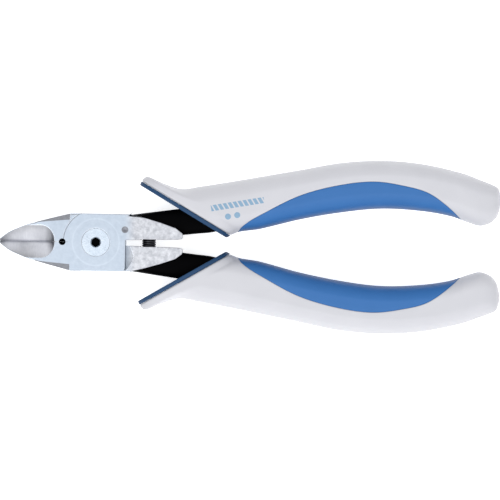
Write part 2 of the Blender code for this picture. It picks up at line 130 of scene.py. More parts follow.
TANG_END = HANDLE_REACH - 0.0220
SHANK_RADIUS = 0.0025
SCREW_HEAD_HEIGHT = 0.0018
SCREW_EDGE = 0.02              # rounding of the head's rim, as a share of its radius
NUT_EDGE = 0.06
SCREW_GAP = 0.00003
HEX_RADIUS = 0.00144
HEX_DEPTH = 0.0021
HEX_LEAD_IN = ((0.80, -0.3), (1.2, 0.1))   # cone, as (radius, height) in shares of HEX_RADIUS
SPANNER_HOLE_RADIUS = 0.0005
SPANNER_HOLE_DEPTH = 0.0008
WIRE_RADIUS = 0.0003
SPRING_TURNS = 13.0
SPRING_CLOSING = 0.05          # how much closer the coils lie at the spring's ends
SPRING_SEAT = 0.00115          # mid-line to the floor of the notch round the spring
TEST_MARK = (0.0087, 0.0039)   # the small dimple that a hardness test leaves
TEST_MARK_RADIUS = 0.0010
TEST_MARK_DEPTH = 0.00045
EDGE_BREAK = 0.00010           # width of the bright line along worked edges, part polish and part painted highlight

# ---- sizes of the grips, in metres ----

SLEEVE_GROW = 0.0013           # the sleeve's outside stands this far from the tang
FLANGE_THICKNESS = 0.0012
FLANGE_ROUNDING = 0.00022
SKIN_GAP = 0.00004             # visible gap between two grip parts
SHELL_ROUNDING = 0.0007
BUTT_ROUNDING = 0.0014
PAD_ROUNDING = 0.00018
FAN_DEPTH = 0.0030             # sections stay parallel to the front face as far as this
FAN_END = 0.0620               # and stand square to the handle from here on
GRIP_SQUARENESS = 2.7          # 2 is an ellipse, higher is boxier
GRIP_CROWN = 1.03
TANG_SQUARENESS = 3.4

# Outlines, each as (share of HANDLE_REACH, share of half the HANDLE_SPAN)
GRIP_BACK = ((0.1055, 0.672), (0.1135, 0.748), (0.127, 0.768), (0.155, 0.712), (0.207, 0.636),
             (0.257, 0.667), (0.356, 0.748), (0.505, 0.879), (0.604, 0.967), (0.703, 1.0),
             (0.802, 0.971), (0.902, 0.875), (0.951, 0.794), (0.993, 0.713), (1.0, 0.663))
GRIP_BELLY = ((0.1055, -0.060), (0.250, 0.020), (0.322, 0.080), (0.340, 0.125), (0.356, 0.152),
              (0.375, 0.166), (0.406, 0.188), (0.505, 0.306), (0.604, 0.393), (0.703, 0.445),
              (0.802, 0.428), (0.876, 0.374), (0.926, 0.295), (0.951, 0.266), (0.976, 0.301),
              (0.993, 0.382), (1.0, 0.462))
PAD_EDGE = ((0.335, 0.030), (0.360, 0.204), (0.421, 0.385), (0.505, 0.582), (0.600, 0.705),
            (0.686, 0.752), (0.760, 0.708), (0.820, 0.630), (0.870, 0.470), (0.925, 0.240))
FRONT_HORN = (0.1055, 0.672)
FRONT_TOE = (0.322, 0.080)

# Grip height as (share of HANDLE_REACH, share of GRIP_HALF_HEIGHT)
GRIP_HEIGHT = ((0.1055, 0.70), (0.145, 0.90), (0.220, 1.0), (0.900, 1.0), (0.960, 0.88),
               (0.985, 0.72), (1.0, 0.52))

# The ground root face, as (share of ROOT_LENGTH, share of HEAD_HALF)
ROOT_FACE = ((0.942, 0.140), (1.0, 0.175), (1.0, 0.363), (0.919, 0.544), (0.745, 0.725),
             (0.564, 0.883), (0.390, 1.0))

# The tang's way into the grip, as (share of the toe's reach, metres): how far
# its centre line rises from the root's middle, and how much wider it grows
TANG_RISE = ((0.52, 0.0013), (0.77, 0.0025), (0.92, 0.0033))
TANG_SWELL = ((0.50, 0.0), (0.90, 0.0002), (1.12, 0.0))
TANG_STRAIGHT = 1.33           # past this share the centre line is the grip's own
TANG_SETTLED = 1.45            # and past this one it keeps its width

# The jaws' closed outline, as (share of JAW_LENGTH, share of HEAD_HALF)
JAW_OUTLINE = ((0.270, 1.0), (0.48, 0.812), (0.70, 0.605), (0.77, 0.515), (0.90, 0.315), (1.0, 0.060))

# Their half-thickness, as (share of the way from SHOULDER_END to the tip, share of FACE)
JAW_HEIGHT = ((0.0, 1.0), (0.45, 0.97), (0.75, 0.72), (1.0, TIP_HALF_HEIGHT / FACE))

# ---- printed device, in millimetres from the pivot and from its own middle ----

STAMP_PLACE = (42.2, 12.1, 0.0)
STAMP_TURN = math.radians(10)
DOT_PLACES = ((-3.4, -3.2), (-0.6, -3.2))

# ---- tolerances ----

SAME_PLACE = 1e-6
FLAT_ANGLE = math.radians(0.6)     # faces that meet flatter than this become one
SMOOTH_ANGLE = math.radians(35)    # shading breaks at edges sharper than this
COLOR_A, COLOR_B, COLOR_OUT = 6, 7, 2      # the colour sockets of a Mix node


# ---- node helpers ----

def node(tree, kind, **settings):
    made = tree.nodes.new(kind)
    for key, value in settings.items():
        setattr(made, key, value)
    return made


def calc(tree, operation, first, second=None, third=None):
    """A Math node's result."""
    made = node(tree, "ShaderNodeMath", operation=operation)
    for socket, value in zip(made.inputs, (first, second, third)):
        feed(tree, socket, value)
    return made.outputs[0]


def feed(tree, socket, value):
    """A socket is linked to another node's output, or set to a plain value."""
    if isinstance(value, bpy.types.NodeSocket):
        tree.links.new(value, socket)
    elif value is not None:
        socket.default_value = value


def feed_all(tree, made, **values):
    """Feeds a node's sockets by name, with an underscore for each space, and gives the node."""
    for label, value in values.items():
        feed(tree, made.inputs[label.replace("_", " ")], value)
    return made


def fed(tree, kind, **values):
    """A new node with its sockets fed."""
    return feed_all(tree, node(tree, kind), **values)


def mixed(tree, factor, first, second):
    """Two colours mixed by a factor."""
    made = node(tree, "ShaderNodeMix", data_type="RGBA")
    for key, value in (("Factor", factor), (COLOR_A, first), (COLOR_B, second)):
        feed(tree, made.inputs[key], value)
    return made.outputs[COLOR_OUT]


def new_group(name, inputs, outputs):
    """An empty shader group and its two end nodes. An input with no value is a linked vector."""
    tree = bpy.data.node_groups.new(name, "ShaderNodeTree")
    for label, value in inputs.items():
        kind = "NodeSocketFloat" if isinstance(value, float) else "NodeSocketVector"
        socket = tree.interface.new_socket(label, in_out="INPUT", socket_type=kind)
        if value is not None:
            socket.default_value = value
    for label in outputs:
        tree.interface.new_socket(label, in_out="OUTPUT", socket_type="NodeSocketFloat")
    return tree, node(tree, "NodeGroupInput").outputs, node(tree, "NodeGroupOutput")


def use_group(tree, group, **values):
    return feed_all(tree, node(tree, "ShaderNodeGroup", node_tree=group), **values).outputs


def noise(tree, vector, scale, detail=3.0, roughness=0.55):
    made = fed(tree, "ShaderNodeTexNoise", Vector=vector, Scale=scale, Detail=detail, Roughness=roughness)
    return made.outputs["Fac"]


def stretched(tree, vector, stretch):
    made = node(tree, "ShaderNodeVectorMath", operation="MULTIPLY")
    feed(tree, made.inputs[0], vector)
    feed(tree, made.inputs[1], stretch)
    return made.outputs[0]


def axes(tree, vector):
    """A vector's X, Y and Z."""
    return fed(tree, "ShaderNodeSeparateXYZ", Vector=vector).outputs


def map_range(tree, value, **limits):
    made = node(tree, "ShaderNodeMapRange", interpolation_type="SMOOTHSTEP")
    return feed_all(tree, made, Value=value, **limits).outputs[0]


def times(tree, first, second):
    return calc(tree, "MULTIPLY", first, second)


def within(tree, value, limit):
    """1 where the value, whatever its sign, is under the limit, and 0 elsewhere."""
    return calc(tree, "LESS_THAN", calc(tree, "ABSOLUTE", value), limit)


def shared(tree, first, share, second):
    """A share of the first tone, and the rest of the second."""
    return calc(tree, "MULTIPLY_ADD", first, share, times(tree, second, 1 - share))


def fading(tree, away, width):
    """1 where away is 0, falling to 0 at the width."""
    near = calc(tree, "SUBTRACT", 1.0, calc(tree, "DIVIDE", away, width))
    return calc(tree, "MAXIMUM", near, 0.0)


# ---- shared surface effects; distances in these groups are millimetres ----

def grinding_group():
    """Fine parallel grinding lines, with a slow cloudy tone under them."""
    tree, inputs, end = new_group(
        "grinding_lines",
        {"Vector": None, "Stretch": (1.0, 1.0, 1.0), "Cloud Size": 4.0},
        ["Lines", "Cloud"])
    lines = noise(tree, stretched(tree, inputs["Vector"], inputs["Stretch"]), 1.0, 4.0, 0.7)
    cloud = noise(tree, inputs["Vector"], calc(tree, "DIVIDE", 1.0, inputs["Cloud Size"]), 3.0)
    feed_all(tree, end, Lines=lines, Cloud=cloud)
    return tree


def ring_group():
    """Turning marks round the pivot, and one polished ring of a given radius and width."""
    tree, inputs, end = new_group(
        "turning_rings",
        {"Vector": None, "Pitch": 0.15, "Ring Radius": 7.2, "Ring Width": 0.4},
        ["Marks", "Ring"])
    flat = node(tree, "ShaderNodeVectorMath", operation="LENGTH")
    feed(tree, flat.inputs[0], stretched(tree, inputs["Vector"], (1.0, 1.0, 0.0)))
    radius = flat.outputs["Value"]
    angle = calc(tree, "DIVIDE", times(tree, radius, math.tau), inputs["Pitch"])
    away = calc(tree, "ABSOLUTE", calc(tree, "SUBTRACT", radius, inputs["Ring Radius"]))
    feed_all(tree, end, Marks=calc(tree, "SINE", angle), Ring=fading(tree, away, inputs["Ring Width"]))
    return tree


def moulding_group():
    """The fine grain of a moulded skin, a slow tone, and the parting line halfway up."""
    tree, inputs, end = new_group(
        "moulded_skin",
        {"Vector": None, "Grain Size": 0.3, "Line Width": 0.12},
        ["Grain", "Cloud", "Parting Line"])
    fine = noise(tree, inputs["Vector"], calc(tree, "DIVIDE", 1.0, inputs["Grain Size"]), 2.0, 0.6)
    away = calc(tree, "ABSOLUTE", axes(tree, inputs["Vector"])["Z"])
    feed_all(tree, end, Grain=fine, Cloud=noise(tree, inputs["Vector"], 0.12, 2.0),
             Parting_Line=fading(tree, away, inputs["Line Width"]))
    return tree


def stamp_group():
    """A plain printed device: a slanted band of bars over two dots."""
    tree, inputs, end = new_group(
        "bar_stamp",
        {"Vector": None, "Band Length": 16.0, "Band Height": 1.8, "Bar Pitch": 1.5, "Dot Radius": 0.9},
        ["Ink"])
    x, y, z = axes(tree, inputs["Vector"])
    along = within(tree, x, times(tree, inputs["Band Length"], 0.5))
    over = within(tree, y, times(tree, inputs["Band Height"], 0.5))
    leaning = calc(tree, "DIVIDE", calc(tree, "ADD", x, times(tree, y, 0.4)), inputs["Bar Pitch"])
    bars = calc(tree, "GREATER_THAN", calc(tree, "FRACT", leaning), 0.30)
    ink = times(tree, times(tree, along, over), bars)
    for place in DOT_PLACES:
        distance = node(tree, "ShaderNodeVectorMath", operation="DISTANCE")
        feed(tree, distance.inputs[0], stretched(tree, inputs["Vector"], (1.0, 1.0, 0.0)))
        distance.inputs[1].default_value = (*place, 0.0)
        inside = calc(tree, "LESS_THAN", distance.outputs["Value"], inputs["Dot Radius"])
        ink = calc(tree, "MAXIMUM", ink, inside)
    top = calc(tree, "GREATER_THAN", z, 0.0)
    feed_all(tree, end, Ink=times(tree, ink, top))
    return tree


GRINDING = grinding_group()
RINGS = ring_group()
MOULDING = moulding_group()
STAMP = stamp_group()


# ---- materials ----

def start_material(name, metallic, roughness, specular=0.5):
    """A material with its shader, and coordinates in millimetres from the pivot."""
    made = bpy.data.materials.new(name)
    made.use_nodes = True
    tree = made.node_tree
    shader = tree.nodes["Principled BSDF"]
    feed_all(tree, shader, Metallic=metallic, Roughness=roughness, Specular_IOR_Level=specular)
    place = fed(tree, "ShaderNodeMapping", Vector=node(tree, "ShaderNodeTexCoord").outputs["Object"],
                Location=-PIVOT * MILLIMETRES, Scale=(MILLIMETRES,) * 3)
    return made, tree, shader, place.outputs[0]


def set_bump(tree, shader, height, millimetres):
    bump = fed(tree, "ShaderNodeBump", Strength=1.0, Distance=millimetres / MILLIMETRES, Height=height)
    feed_all(tree, shader, Normal=bump.outputs[0])


def set_color(tree, shader, tone, dark, light):
    feed_all(tree, shader, Base_Color=mixed(tree, tone, (*dark, 1.0), (*light, 1.0)))


def set_roughness(tree, shader, tone, low, high):
    feed_all(tree, shader, Roughness=calc(tree, "MULTIPLY_ADD", tone, high - low, low))


def grained(name, metallic, roughness, grain, colors, gloss, specular=0.5, bump=None):
    """A finish whose colour, gloss and bump all follow one grain, given as noise() takes it."""
    made, tree, shader, place = start_material(name, metallic, roughness, specular)
    tone = noise(tree, place, *grain)
    set_color(tree, shader, tone, *colors)
    set_roughness(tree, shader, tone, *gloss)
    if bump:
        set_bump(tree, shader, tone, bump)
    return made


def ground_steel():
    """The flat faces: surface-ground, with a faint turned ring, and patchier out on the roots."""
    made, tree, shader, place = start_material("ground_steel", 1.0, 0.3)
    grinding = use_group(tree, GRINDING, Vector=place, Stretch=(0.5, 9.0, 9.0), Cloud_Size=1.4)
    rings = use_group(tree, RINGS, Vector=place, Pitch=0.45, Ring_Radius=7.0, Ring_Width=0.35)
    worn = map_range(tree, axes(tree, place)["X"], From_Min=8.0, From_Max=12.0, To_Min=0.0, To_Max=2.0)
    patches = calc(tree, "SUBTRACT", noise(tree, place, 0.9, 3.0), 0.5)
    tone = shared(tree, grinding["Lines"], 0.35, grinding["Cloud"])
    tone = calc(tree, "MULTIPLY_ADD", rings["Ring"], 0.2, tone)
    tone = calc(tree, "MULTIPLY_ADD", patches, worn, tone)
    head = mixed(tree, tone, (0.29, 0.34, 0.41, 1.0), (0.53, 0.59, 0.66, 1.0))
    root = mixed(tree, tone, (0.32, 0.33, 0.36, 1.0), (0.60, 0.61, 0.64, 1.0))
    on_root = times(tree, worn, 0.5)
    feed_all(tree, shader, Base_Color=mixed(tree, on_root, head, root))
    set_roughness(tree, shader, grinding["Cloud"], 0.24, 0.44)
    height = calc(tree, "ADD", grinding["Lines"], times(tree, rings["Ring"], -0.8))
    set_bump(tree, shader, height, 0.008)
    return made


def leaf_steel():
    """The cutting leaves: ground across the edge, with a darker band of painted shade along the cut line,
    where the two leaves meet in a valley.
    """
    made, tree, shader, place = start_material("leaf_steel", 1.0, 0.3)
    grinding = use_group(tree, GRINDING, Vector=place, Stretch=(7.0, 0.35, 0.35), Cloud_Size=4.0)
    tone = shared(tree, grinding["Lines"], 0.5, grinding["Cloud"])
    # Painted shade: the tone darkens towards the cut line, in the valley between the two leaves.
    band = calc(tree, "DIVIDE", calc(tree, "ABSOLUTE", axes(tree, place)["Y"]), 0.6)
    band = calc(tree, "MINIMUM", calc(tree, "MULTIPLY_ADD", band, 0.75, 0.25), 1.0)
    tone = times(tree, tone, band)
    set_color(tree, shader, tone, (0.33, 0.34, 0.38), (0.99, 0.99, 1.0))
    set_roughness(tree, shader, grinding["Cloud"], 0.26, 0.42)
    set_bump(tree, shader, grinding["Lines"], 0.008)
    return made


def painted_shade_steel():
    """Painted shade: steel darkened on the jaws' sloping shoulders, which face sideways, and in the test
    mark's hollow.
    """
    colors = ((0.12, 0.125, 0.14), (0.30, 0.31, 0.34))
    return grained("painted_shade_steel", 1.0, 0.4, (1.2, 3.0), colors, (0.3, 0.5))


def black_finish_and_hole_shade():
    """Forged faces left black on the tang; the same near-black is also painted inside holes, pockets and
    the hex socket as shade.
    """
    colors = ((0.0005, 0.0005, 0.0007), (0.0016, 0.0016, 0.0022))
    return grained("black_finish_and_hole_shade", 0.0, 0.4, (3.0, 4.0, 0.65), colors, (0.35, 0.6), 0.02, 0.03)


def polish_and_painted_highlight():
    """The thin bright line along worked edges: partly the polish that handling leaves, partly a painted
    highlight.
    """
    colors = ((0.60, 0.64, 0.70), (0.86, 0.89, 0.93))
    return grained("polish_and_painted_highlight", 1.0, 0.2, (1.5, 3.0), colors, (0.14, 0.3))


def turned_steel():
    """The screw and the nut, with turning marks round their middle."""
    made, tree, shader, place = start_material("turned_steel", 1.0, 0.25)
    grinding = use_group(tree, GRINDING, Vector=place, Stretch=(3.0, 3.0, 3.0), Cloud_Size=2.0)
    rings = use_group(tree, RINGS, Vector=place, Pitch=0.22, Ring_Radius=3.95, Ring_Width=0.3)
    tone = calc(tree, "MULTIPLY_ADD", rings["Marks"], 0.10, grinding["Cloud"])
    set_color(tree, shader, tone, (0.36, 0.42, 0.49), (0.60, 0.66, 0.73))
    set_roughness(tree, shader, grinding["Lines"], 0.2, 0.38)
    set_bump(tree, shader, rings["Marks"], 0.004)
    return made


def spring_wire():
    """Drawn wire, dark grey, scuffed in patches."""
    colors = ((0.05, 0.05, 0.055), (0.22, 0.22, 0.24))
    return grained("spring_wire", 1.0, 0.35, (2.5, 3.0), colors, (0.28, 0.5))


def moulded(name, dark, light, roughness, grain_size, depth, side=0.8, printed=False):
    """A moulded plastic or rubber skin with its grain and parting line.

    Towards the parting line the colour deepens to the share of itself that side gives: this is painted
    shade on the skin's sides, which turn away from the light overhead."""
    made, tree, shader, place = start_material(name, 0.0, roughness, 0.4)
    skin = use_group(tree, MOULDING, Vector=place, Grain_Size=grain_size, Line_Width=0.14)
    tone = shared(tree, skin["Grain"], 0.35, skin["Cloud"])
    level = calc(tree, "ABSOLUTE", axes(tree, place)["Z"])
    top = map_range(tree, level, From_Min=1.5, From_Max=6.2)
    color = mixed(tree, tone, (*dark, 1.0), (*light, 1.0))
    # Painted shade: a darker copy of the colours for the sides, which the full colour replaces towards the
    # top.
    painted_side_shade = mixed(tree, tone, (*[c * side for c in dark], 1.0), (*[c * side for c in light], 1.0))
    color = mixed(tree, top, painted_side_shade, color)
    if printed:
        on_grip = feed_all(tree, node(tree, "ShaderNodeMapping", vector_type="TEXTURE"), Vector=place,
                           Location=STAMP_PLACE, Rotation=(0.0, 0.0, STAMP_TURN))
        ink = use_group(tree, STAMP, Vector=on_grip.outputs[0])["Ink"]
        worn = times(tree, ink, calc(tree, "MULTIPLY_ADD", skin["Grain"], 0.5, 0.55))
        color = mixed(tree, worn, color, (0.16, 0.36, 0.55, 1.0))
    feed_all(tree, shader, Base_Color=color)
    set_roughness(tree, shader, skin["Grain"], roughness - 0.06, roughness + 0.08)
    grain = times(tree, skin["Grain"], depth)
    set_bump(tree, shader, calc(tree, "SUBTRACT", grain, skin["Parting Line"]), 0.06)
    return made


# Steel finishes, in the order of a steel piece's material slots
GROUND, LEAF, SHADE_PAINTED, BLACK_AND_HOLE_SHADE, POLISH_AND_HIGHLIGHT = range(5)
STEEL = (ground_steel(), leaf_steel(), painted_shade_steel(), black_finish_and_hole_shade(), polish_and_painted_highlight())


# ---- curves and outlines ----

def curve_at(points, x):
    """The smooth curve through the (x, y) points, read at x."""
    last = len(points) - 1
    x = min(max(x, points[0][0]), points[last][0])
    i = next(k for k in range(last) if x <= points[k + 1][0])

    def slope(k):
        before = points[max(k - 1, 0)]
        after = points[min(k + 1, last)]
        return (after[1] - before[1]) / (after[0] - before[0])

    span = points[i + 1][0] - points[i][0]
    t = (x - points[i][0]) / span
    start = (1 + 2 * t) * (1 - t) ** 2 * points[i][1] + t * (1 - t) ** 2 * span * slope(i)
    end = t * t * (3 - 2 * t) * points[i + 1][1] + t * t * (t - 1) * span * slope(i + 1)
    return start + end


def smooth(share):
    share = min(max(share, 0.0), 1.0)
    return share * share * (3 - 2 * share)


def arc(x, y, radius, start, stop, steps):
    """Points on an arc, with its angles in degrees."""
    angles = [math.radians(start + (stop - start) * i / steps) for i in range(steps + 1)]
    return [(x + radius * math.cos(a), y + radius * math.sin(a)) for a in angles]


def scaled(points):
    """An outline's shares turned into metres."""
    return [(x * HANDLE_REACH, y * HANDLE_SPAN / 2) for x, y in points]


BACK = scaled(GRIP_BACK)
BELLY = scaled(GRIP_BELLY)
PAD = scaled(PAD_EDGE)
HORN, TOE = scaled((FRONT_HORN, FRONT_TOE))


# ---- mesh tools ----

def put_in_scene(name, data):
    made = bpy.data.objects.new(name, data)
    bpy.context.scene.collection.objects.link(made)
    return made


def add_object(name, bm):
    bmesh.ops.remove_doubles(bm, verts=bm.verts, dist=SAME_PLACE)
    bmesh.ops.recalc_face_normals(bm, faces=bm.faces)
    mesh = bpy.data.meshes.new(name)
    for finish in STEEL:
        mesh.materials.append(finish)
    bm.to_mesh(mesh)
    bm.free()
    return put_in_scene(name, mesh)


def loft(name, loops, finish=GROUND, finish_at=None):
    """A closed solid through loops of equally many points, capped at both ends.

    finish_at(loop, side) may give the slot of each four-sided face."""
    bm = bmesh.new()
    rings = [[bm.verts.new(point) for point in loop] for loop in loops]
    count = len(rings[0])
    for k, (ring, following) in enumerate(zip(rings, rings[1:])):
        for i in range(count):
            j = (i + 1) % count
            face = bm.faces.new((ring[i], ring[j], following[j], following[i]))
            face.material_index = finish_at(k, i) if finish_at else finish
    for cap in (rings[0], rings[-1]):
        bm.faces.new(cap).material_index = finish
    return add_object(name, bm)


def in_jaw(edge):
    """True for the lap plate's edges that the same half's jaw covers."""
    return all(v.co.x < SAME_PLACE - SHOULDER_END and v.co.y < SAME_PLACE for v in edge.verts)


def prism(name, outline, low, high, rounded=(), rounding=RIM_ROUNDING, finish=GROUND):
    """An outline in X and Y extruded from low to high, rounded over at the heights named."""
    made = loft(name, [[(x, y, z) for x, y in outline] for z in (low, high)], finish)
    for height in rounded:
        bm = bmesh.new()
        bm.from_mesh(made.data)
        level = [e for e in bm.edges if all(abs(v.co.z - height) < SAME_PLACE for v in e.verts)]
        rim = [e for e in level if not in_jaw(e)]
        bmesh.ops.bevel(bm, geom=rim, offset=rounding, segments=3, profile=0.5, affect="EDGES")
        bm.to_mesh(made.data)
        bm.free()
    return made


def disc(name, radius, low, high, x=0.0, y=0.0, sides=96, finish=GROUND):
    return prism(name, arc(x, y, radius, 0, 360, sides)[:-1], low, high, finish=finish)


def turned(name, profile, sides=96, finish=GROUND):
    """A solid of revolution about the Z axis, from (radius, z) points off the axis."""
    loops = [[(x, y, z) for x, y in arc(0, 0, r, 0, 360, sides)[:-1]] for r, z in profile]
    return loft(name, loops, finish)


def settle(made):
    """An object's modifiers become its own mesh."""
    bpy.context.view_layer.update()
    evaluated = made.evaluated_get(bpy.context.evaluated_depsgraph_get())
    mesh = bpy.data.meshes.new_from_object(evaluated)
    made.modifiers.clear()
    made.data = mesh
    return made


def combine(target, other, operation):
    """The other object is cut from the target or joined to it, and is used up."""
    modifier = target.modifiers.new(operation.lower(), "BOOLEAN")
    modifier.operation = operation
    modifier.solver = "MANIFOLD"
    modifier.object = other
    settle(target)
    bm = bmesh.new()
    bm.from_mesh(target.data)
    bmesh.ops.remove_doubles(bm, verts=bm.verts, dist=SAME_PLACE)
    bm.to_mesh(target.data)
    bm.free()
    bpy.data.objects.remove(other)


def cut(target, *cutters):
    for cutter in cutters:
        combine(target, cutter, "DIFFERENCE")
    return target


def join(target, *others):
    for other in others:
        combine(target, other, "UNION")


def breaks(edge, angle):
    """True for a worked edge: sharp, touching no black or shade-painted face, and not a cutting edge."""
    if len(edge.link_faces) != 2 or edge.calc_face_angle(0.0) < angle:
        return False
    if any(face.material_index in (BLACK_AND_HOLE_SHADE, SHADE_PAINTED) for face in edge.link_faces):
        return False
    return not all(abs(v.co.y) < CUT_LINE and v.co.x < -CUT_END for v in edge.verts)


def break_edges(made, width, finish, angle=32):
    """Worked edges lose their sharpness: each gets a narrow rounded face of the finish given."""
    bm = bmesh.new()
    bm.from_mesh(made.data)
    bmesh.ops.remove_doubles(bm, verts=bm.verts, dist=2 * SAME_PLACE)
    bmesh.ops.dissolve_limit(bm, angle_limit=FLAT_ANGLE, verts=bm.verts, edges=bm.edges,
                             delimit={"MATERIAL"})
    weight = bm.edges.layers.float.new("bevel_weight_edge")
    for edge in bm.edges:
        edge[weight] = 1.0 if breaks(edge, math.radians(angle)) else 0.0
    bm.to_mesh(made.data)
    bm.free()
    modifier = made.modifiers.new("edge_break", "BEVEL")
    modifier.width = width
    modifier.segments = 2
    modifier.limit_method = "WEIGHT"
    modifier.use_clamp_overlap = False
    modifier.material = finish
    return settle(made)


def shade(made):
    """Smooth shading that breaks at real edges."""
    made.data.shade_smooth()
    made.data.set_sharp_from_angle(angle=SMOOTH_ANGLE)
    return made


def flatten_shading(made):
    """Large flat faces set the normals along their borders, so that they shade flat."""
    modifier = shade(made).modifiers.new("flat_faces", "WEIGHTED_NORMAL")
    modifier.keep_sharp = True
    return settle(made)


# ---- steel halves ----

def jaw_outline(distance):
    """Half-width of the closed jaws at a distance from the pivot."""
    return HEAD_HALF * curve_at(JAW_OUTLINE, distance / JAW_LENGTH)


def jaw_height(distance):
    """Half-thickness of the jaws: full at the joint, thinner towards the tip."""
    way = max(distance - SHOULDER_END, 0) / (JAW_LENGTH - SHOULDER_END)
    return FACE * curve_at(JAW_HEIGHT, way)


def leaf_reach(distance):
    """Distance from the cut line to the rim of the ground cutting leaf."""
    if distance <= CUT_END:
        return CUT_GAP
    left = 1 - min((distance - CUT_END) / LEAF_RISE, 1.0)
    reach = min(LEAF_REACH * math.sqrt(1 - left ** 2), LEAF_SHARE * jaw_outline(distance))
    return max(reach, CUT_GAP)


def jaw_section(distance, inset=0.0):
    """The -Y jaw's section, as seen along X: cutting edge, rim, side and back again."""
    width = jaw_outline(distance) - inset
    height = jaw_height(distance) - inset
    rim = leaf_reach(distance)
    share = (SHOULDER_START - distance) / (SHOULDER_START - SHOULDER_END)
    share = min(max(share, 0.0), 1.0) if distance >= SHOULDER_END else 0.0
    shoulder = max(share * SHOULDER_WIDTH, RIM_WIDTH * width)
    depth = max(share * SHOULDER_DEPTH, RIM_DEPTH * height)
    top = [(rim, height), (max(width - shoulder, rim * LEAF_RIM), height), (width, height - depth)]
    points = [(CUT_GAP, 0.0)] + top + [(y, -z) for y, z in reversed(top)]
    return [(-distance, -y, z) for y, z in points]


def jaw(name):
    """The -Y jaw, which runs on a little way into the head, just under its faces."""
    steps = 26
    ground = [CUT_END + (JAW_LENGTH - CUT_END) * (1 - k / steps) ** 1.5 for k in range(steps + 1)]
    stations = ground + [JAW_NECK, SHOULDER_END]
    loops = [jaw_section(station) for station in stations]
    loops += [jaw_section(SHOULDER_END * share, JAW_INSET) for share in (0.999, 0.6)]

    def finish_at(k, side):
        """The leaves are the section's sides 0 and 6, and its side bevels are 2 and 4."""
        in_leaf = side in (0, 6) and k < steps
        in_shoulder = side in (2, 4) and SHOULDER_END < stations[min(k, steps + 2)] < SHOULDER_START
        # The shoulders take the darker steel: painted shade on faces that turn away from the light.
        return LEAF if in_leaf else SHADE_PAINTED if in_shoulder else GROUND

    return loft(name, loops, finish_at=finish_at)


def plate_outline():
    """The lap plate from above: round against the jaw, straight against the other root."""
    meets = 180 - math.degrees(math.asin(HEAD_HALF / LAP_RADIUS))
    in_root = PLATE_REACH * 1.15
    outline = arc(0, 0, LAP_RADIUS, 180, meets, 32)
    outline += [(in_root, HEAD_HALF), (in_root, HANDLE_GAP), (PLATE_REACH, HANDLE_GAP)]
    outline += arc(PLATE_REACH - PLATE_CORNER, PLATE_CORNER - HEAD_HALF, PLATE_CORNER, 0, -90, 8)
    return outline + [(-SHOULDER_END, -HEAD_HALF), (-SHOULDER_END, -CUT_GAP)]


def root_outline():
    """The ground face of the handle's root, which narrows to a blunt end."""
    in_plate = PLATE_REACH * 0.7
    face = [(x * ROOT_LENGTH, y * HEAD_HALF) for x, y in ROOT_FACE]
    return [(in_plate, HANDLE_GAP / 2)] + face + [(in_plate, HEAD_HALF)]


def grip_middle(x):
    """Halfway between the grip's back and its belly."""
    return (curve_at(BACK, x) + curve_at(BELLY, x)) / 2


def tang_centre(x):
    """The tang's centre line: from the root, then along the middle of the grip."""
    inside = TOE[0] * TANG_STRAIGHT
    if x > inside:
        return grip_middle(x)
    middle = (HEAD_HALF + HANDLE_GAP / 2) / 2
    points = [(PLATE_REACH, middle)] + [(TOE[0] * share, middle + rise) for share, rise in TANG_RISE]
    points += [(at, grip_middle(at)) for at in (inside, inside * 1.1)]
    return curve_at(points, x)


def tang_half_width(x):
    at_root = (HEAD_HALF - HANDLE_GAP / 2) / 2
    points = [(PLATE_REACH, at_root - TANG_SHOULDER)]
    points += [(TOE[0] * share, at_root + swell) for share, swell in TANG_SWELL]
    points += [(TOE[0] * TANG_SETTLED, TANG_HALF), (TANG_END, TANG_HALF - TANG_TAPER)]
    return curve_at(points, x)


def tang_section(x, extra=0.0, sides=40):
    """The tang's section at x, a box with soft corners, grown all round by extra."""
    near = max(0.0, 1.0 - (x - PLATE_REACH) / (ROOT_LENGTH - PLATE_REACH))
    half_width = tang_half_width(x) + extra
    half_height = TANG_HALF + near * (FACE * TANG_ROOT_SHARE - TANG_HALF) + extra
    loop = []
    for i in range(sides):
        angle = 2 * math.pi * (i + 0.5) / sides
        across, up = squared(angle, TANG_SQUARENESS)
        loop.append((x, tang_centre(x) + across * half_width, up * half_height))
    return loop


def squared(angle, squareness):
    """A point on a rounded square with its sides one unit from the centre."""
    across = math.copysign(abs(math.cos(angle)) ** (2 / squareness), math.cos(angle))
    up = math.copysign(abs(math.sin(angle)) ** (2 / squareness), math.sin(angle))
    return across, up


def tang_loft(name, start, stop, extra=0.0, steps=60, finish=BLACK_AND_HOLE_SHADE):
    stations = [start + (stop - start) * k / steps for k in range(steps + 1)]
    return loft(name, [tang_section(x, extra) for x in stations], finish)


def turning_room():
    """What the other half's plate needs below the lap: a disc, and more on the root's side."""
    jaw_side = disc("jaw_side", LAP_RADIUS + SEAM, -BEYOND, LAP, sides=180)
    outline = []
    for angle in range(-80, 86, 3):
        furthest = math.radians(min(max(angle + OPENING, 0), 45))
        reach = min(PLATE_REACH / math.cos(furthest), CORNER_REACH) + CLEARANCE
        outline.append((reach * math.cos(math.radians(angle)), reach * math.sin(math.radians(angle))))
    return jaw_side, prism("root_side", outline, -BEYOND, LAP)


def across_y(made, x, y):
    """A piece drawn along Z is laid along Y, with its foot at (x, y)."""
    made.data.transform(Matrix.Translation((x, y, 0)) @ Matrix.Rotation(-math.pi / 2, 4, "X"))
    return made


